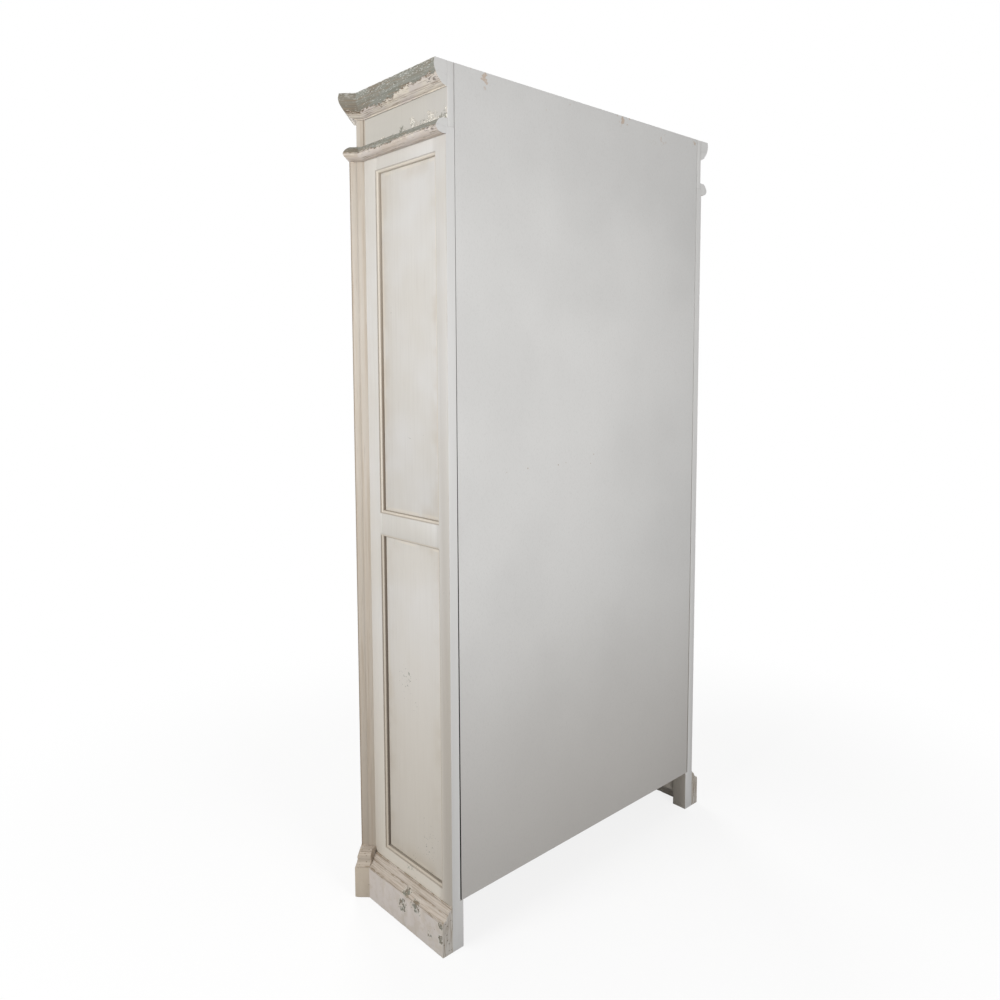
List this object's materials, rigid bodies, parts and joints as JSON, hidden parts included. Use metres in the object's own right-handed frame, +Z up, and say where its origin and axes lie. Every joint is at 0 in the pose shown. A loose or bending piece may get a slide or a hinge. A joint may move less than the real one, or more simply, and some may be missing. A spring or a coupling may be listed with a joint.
{
  "type": "tall two-door panelled cupboard",
  "caption": "Tall free-standing cupboard with hinged panelled doors, panelled sides, canted corner posts, shelves, plinth, waist moulding and cornice.",
  "frame": {"origin": "on the floor under the middle of the whole cupboard", "axes": "+Z up, doors face -Y, plain back faces +Y, lock on the +X door"},
  "size_m": [1.1932, 0.446, 2.196],
  "materials": {
    "distressed_paint": "matt off-white paint, glazed beige in the grooves and rubbed through on the edges",
    "chipped_moulding_paint": "grey-green undercoat showing through heavily chipped white paint",
    "chipped_plinth_paint": "cream paint with a brown glaze and grey-green chips",
    "back_paint": "plain cool off-white paint",
    "inner_paint": "thin off-white paint over visible grain",
    "aged_iron": "dark waxed iron",
    "aged_brass": "dull aged brass"
  },
  "bodies": {
    "root": {"back_panel": "back_paint", "bottom_board": "inner_paint", "bottom_front_rail": "distressed_paint", "corner_pilaster_left": "distressed_paint", "corner_pilaster_right": "distressed_paint", "corner_post_left": "distressed_paint", "corner_post_right": "distressed_paint", "cornice_front": "chipped_moulding_paint", "cornice_left": "chipped_moulding_paint", "cornice_right": "chipped_moulding_paint", "fixed_shelf": "inner_paint", "frieze_front": "distressed_paint", "frieze_left": "distressed_paint", "frieze_right": "distressed_paint", "hinge_frame_leaves_left": "aged_iron", "hinge_frame_leaves_right": "aged_iron", "lid_board": "inner_paint", "loose_shelf_1": "inner_paint", "loose_shelf_2": "inner_paint", "loose_shelf_3": "inner_paint", "plinth_front": "chipped_plinth_paint", "plinth_left": "chipped_plinth_paint", "plinth_right": "chipped_plinth_paint", "shelf_pegs": "inner_paint", "side_front_stile_left": "distressed_paint", "side_front_stile_right": "distressed_paint", "side_lower_panel_left": "distressed_paint", "side_lower_panel_right": "distressed_paint", "side_rails_left": "distressed_paint", "side_rails_right": "distressed_paint", "side_rear_stile_left": "distressed_paint", "side_rear_stile_right": "distressed_paint", "side_upper_panel_left": "distressed_paint", "side_upper_panel_right": "distressed_paint", "top_board": "inner_paint", "waist_moulding_front": "chipped_moulding_paint", "waist_moulding_left": "chipped_moulding_paint", "waist_moulding_right": "chipped_moulding_paint"},
    "left_door": {"door_hinge_stile_left": "distressed_paint", "door_knob_left": "aged_brass", "door_lower_panel_left": "distressed_paint", "door_meeting_stile_left": "distressed_paint", "door_rails_left": "distressed_paint", "door_upper_panel_left": "distressed_paint", "hinge_door_leaves_left": "aged_iron", "rod_bolt_keeps": "aged_iron", "strike_plate": "aged_iron"},
    "right_door": {"door_hinge_stile_right": "distressed_paint", "door_knob_right": "aged_brass", "door_lower_panel_right": "distressed_paint", "door_meeting_stile_right": "distressed_paint", "door_rails_right": "distressed_paint", "door_upper_panel_right": "distressed_paint", "escutcheon": "aged_brass", "hinge_door_leaves_right": "aged_iron", "lock_case": "aged_iron"},
    "key": {"key": "aged_iron"},
    "lock_bolt": {"lock_bolt": "aged_iron"},
    "rod_bolt_upper": {"rod_bolt_upper": "aged_iron"},
    "rod_bolt_lower": {"rod_bolt_lower": "aged_iron"}
  },
  "joints": [
    {"name": "right_door_hinge", "type": "hinge", "parent": "root", "child": "right_door", "pos_m": [0.48657, -0.1619, 1.082], "axis": [0, 0, 1], "range_deg": [0, 105]},
    {"name": "left_door_hinge", "type": "hinge", "parent": "root", "child": "left_door", "pos_m": [-0.48657, -0.1619, 1.082], "axis": [0, 0, -1], "range_deg": [0, 105]},
    {"name": "key_turn", "type": "hinge", "parent": "right_door", "child": "key", "pos_m": [0.0255, -0.1564, 1.026], "axis": [0, -1, 0], "range_deg": [0, 360]},
    {"name": "lock_bolt_slide", "type": "slide", "parent": "right_door", "child": "lock_bolt", "axis": [-1, 0, 0], "range_m": [0, 0.009]},
    {"name": "rod_bolt_upper_slide", "type": "slide", "parent": "left_door", "child": "rod_bolt_upper", "axis": [0, 0, 1], "range_m": [0, 0.014]},
    {"name": "rod_bolt_lower_slide", "type": "slide", "parent": "left_door", "child": "rod_bolt_lower", "axis": [0, 0, -1], "range_m": [0, 0.014]}
  ],
  "couplings": [
    {"joint": "lock_bolt_slide", "follows": "key_turn", "m_per_rad": 0.001432}
  ]
}
